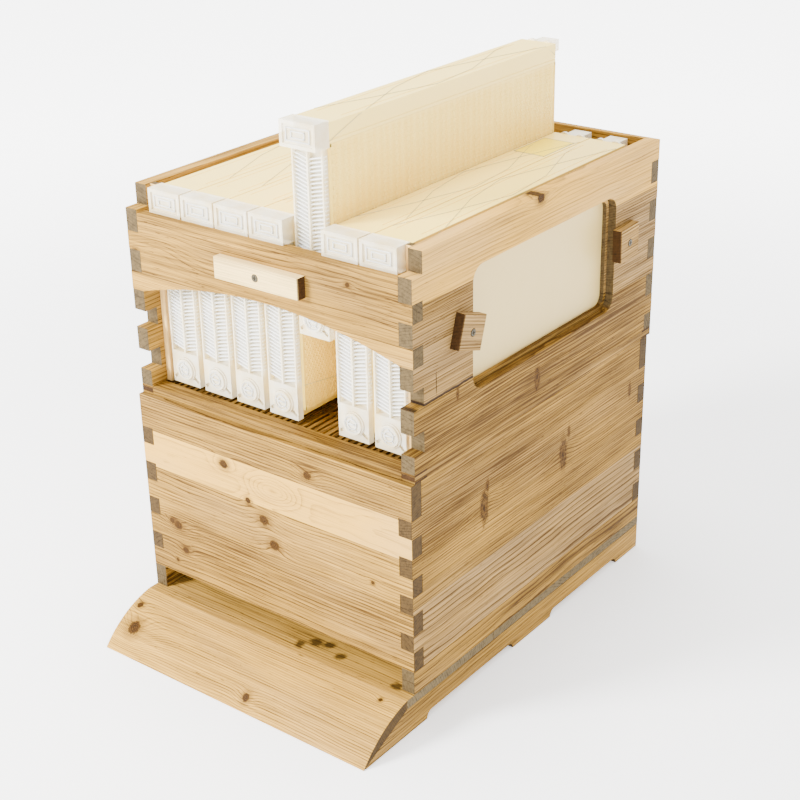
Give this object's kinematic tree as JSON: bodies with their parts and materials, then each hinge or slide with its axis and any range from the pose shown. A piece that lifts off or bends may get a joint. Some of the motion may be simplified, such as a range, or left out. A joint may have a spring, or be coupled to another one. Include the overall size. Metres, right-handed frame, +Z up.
{
  "type": "stacked box beehive",
  "caption": "Wooden stacked box hive with landing board, finger-jointed boxes, slatted grille, window and a row of clear-ended harvest frames, one standing raised.",
  "frame": {"origin": "middle of the footprint, on the ground under the feet", "axes": "+Z up; the entrance and landing board face -Y; the window is on the +X side"},
  "size_m": [0.4254, 0.61, 0.685],
  "materials": {
    "stand_wood": "raw softwood, planed",
    "lower_wood": "raw softwood, planed",
    "grille_wood": "raw hardwood strip",
    "upper_wood": "raw softwood, planed",
    "pale_wood": "raw pale softwood",
    "cream_plastic": "satin",
    "clear_plastic": "clear moulded",
    "pane": "clear sheet",
    "screw_steel": "zinc, dulled"
  },
  "bodies": {
    "stand": {"runner_left": "stand_wood", "runner_right": "stand_wood", "floor_plank_1": "stand_wood", "floor_plank_2": "stand_wood", "floor_plank_3": "stand_wood", "rail_left": "stand_wood", "rail_right": "stand_wood", "rail_rear": "stand_wood", "landing_board": "stand_wood"},
    "lower_box": {"brood_front": "lower_wood", "brood_back": "lower_wood", "brood_left": "lower_wood", "brood_right": "lower_wood"},
    "grille": {"grille_front": "grille_wood", "grille_back": "grille_wood", "grille_left": "grille_wood", "grille_right": "grille_wood", "grille_slats": "grille_wood"},
    "upper_box": {"bridge_board": "upper_wood", "super_back": "upper_wood", "super_left": "upper_wood", "super_right": "upper_wood", "batten_left": "pale_wood", "batten_right": "pale_wood", "window_pane": "pane", "cleat_screw": "screw_steel", "button_front_screw": "screw_steel", "button_rear_screw": "screw_steel"},
    "cleat": {"cleat": "pale_wood"},
    "button_front": {"button_front": "upper_wood"},
    "button_rear": {"button_rear": "upper_wood"},
    "frame_1": {"ends_1": "clear_plastic", "comb_1": "cream_plastic", "top_bar_1": "cream_plastic"},
    "cap_1": {"drain_cap_1": "clear_plastic"},
    "frame_2": {"ends_2": "clear_plastic", "comb_2": "cream_plastic", "top_bar_2": "cream_plastic"},
    "cap_2": {"drain_cap_2": "clear_plastic"},
    "frame_3": {"ends_3": "clear_plastic", "comb_3": "cream_plastic", "top_bar_3": "cream_plastic"},
    "cap_3": {"drain_cap_3": "clear_plastic"},
    "frame_4": {"ends_4": "clear_plastic", "comb_4": "cream_plastic", "top_bar_4": "cream_plastic"},
    "cap_4": {"drain_cap_4": "clear_plastic"},
    "frame_5": {"ends_5": "clear_plastic", "comb_5": "cream_plastic", "top_bar_5": "cream_plastic"},
    "cap_5": {"drain_cap_5": "clear_plastic"},
    "frame_6": {"ends_6": "clear_plastic", "comb_6": "cream_plastic", "top_bar_6": "cream_plastic"},
    "cap_6": {"drain_cap_6": "clear_plastic"},
    "frame_7": {"ends_7": "clear_plastic", "comb_7": "cream_plastic", "top_bar_7": "cream_plastic"},
    "cap_7": {"drain_cap_7": "clear_plastic"}
  },
  "joints": [
    {"name": "lower_box_lift", "type": "slide", "parent": "stand", "child": "lower_box", "axis": [0, 0, 1], "range_m": [0, 0.12]},
    {"name": "grille_lift", "type": "slide", "parent": "lower_box", "child": "grille", "axis": [0, 0, 1], "range_m": [0, 0.12]},
    {"name": "upper_box_lift", "type": "slide", "parent": "grille", "child": "upper_box", "axis": [0, 0, 1], "range_m": [0, 0.12]},
    {"name": "cleat_turn", "type": "hinge", "parent": "upper_box", "child": "cleat", "pos_m": [-0.00422, -0.203, 0.51], "axis": [0, -1, 0], "range_deg": [-90, 90]},
    {"name": "button_front_turn", "type": "hinge", "parent": "upper_box", "child": "button_front", "pos_m": [0.20027, -0.112, 0.463], "axis": [1, 0, 0], "range_deg": [-72, 108]},
    {"name": "button_rear_turn", "type": "hinge", "parent": "upper_box", "child": "button_rear", "pos_m": [0.20027, 0.22, 0.467], "axis": [1, 0, 0], "range_deg": [-92, 88]},
    {"name": "frame_1_lift", "type": "slide", "parent": "upper_box", "child": "frame_1", "axis": [0, 0, 1], "range_m": [0, 0.26]},
    {"name": "frame_2_lift", "type": "slide", "parent": "upper_box", "child": "frame_2", "axis": [0, 0, 1], "range_m": [0, 0.26]},
    {"name": "frame_3_lift", "type": "slide", "parent": "upper_box", "child": "frame_3", "axis": [0, 0, 1], "range_m": [0, 0.26]},
    {"name": "frame_4_lift", "type": "slide", "parent": "upper_box", "child": "frame_4", "axis": [0, 0, 1], "range_m": [0, 0.26]},
    {"name": "frame_5_lift", "type": "slide", "parent": "upper_box", "child": "frame_5", "axis": [0, 0, 1], "range_m": [-0.111, 0.145]},
    {"name": "frame_6_lift", "type": "slide", "parent": "upper_box", "child": "frame_6", "axis": [0, 0, 1], "range_m": [0, 0.26]},
    {"name": "frame_7_lift", "type": "slide", "parent": "upper_box", "child": "frame_7", "axis": [0, 0, 1], "range_m": [0, 0.26]},
    {"name": "cap_1_pull", "type": "slide", "parent": "frame_1", "child": "cap_1", "axis": [0, -1, 0], "range_m": [0, 0.03]},
    {"name": "cap_2_pull", "type": "slide", "parent": "frame_2", "child": "cap_2", "axis": [0, -1, 0], "range_m": [0, 0.03]},
    {"name": "cap_3_pull", "type": "slide", "parent": "frame_3", "child": "cap_3", "axis": [0, -1, 0], "range_m": [0, 0.03]},
    {"name": "cap_4_pull", "type": "slide", "parent": "frame_4", "child": "cap_4", "axis": [0, -1, 0], "range_m": [0, 0.03]},
    {"name": "cap_5_pull", "type": "slide", "parent": "frame_5", "child": "cap_5", "axis": [0, -1, 0], "range_m": [0, 0.03]},
    {"name": "cap_6_pull", "type": "slide", "parent": "frame_6", "child": "cap_6", "axis": [0, -1, 0], "range_m": [0, 0.03]},
    {"name": "cap_7_pull", "type": "slide", "parent": "frame_7", "child": "cap_7", "axis": [0, -1, 0], "range_m": [0, 0.03]}
  ]
}
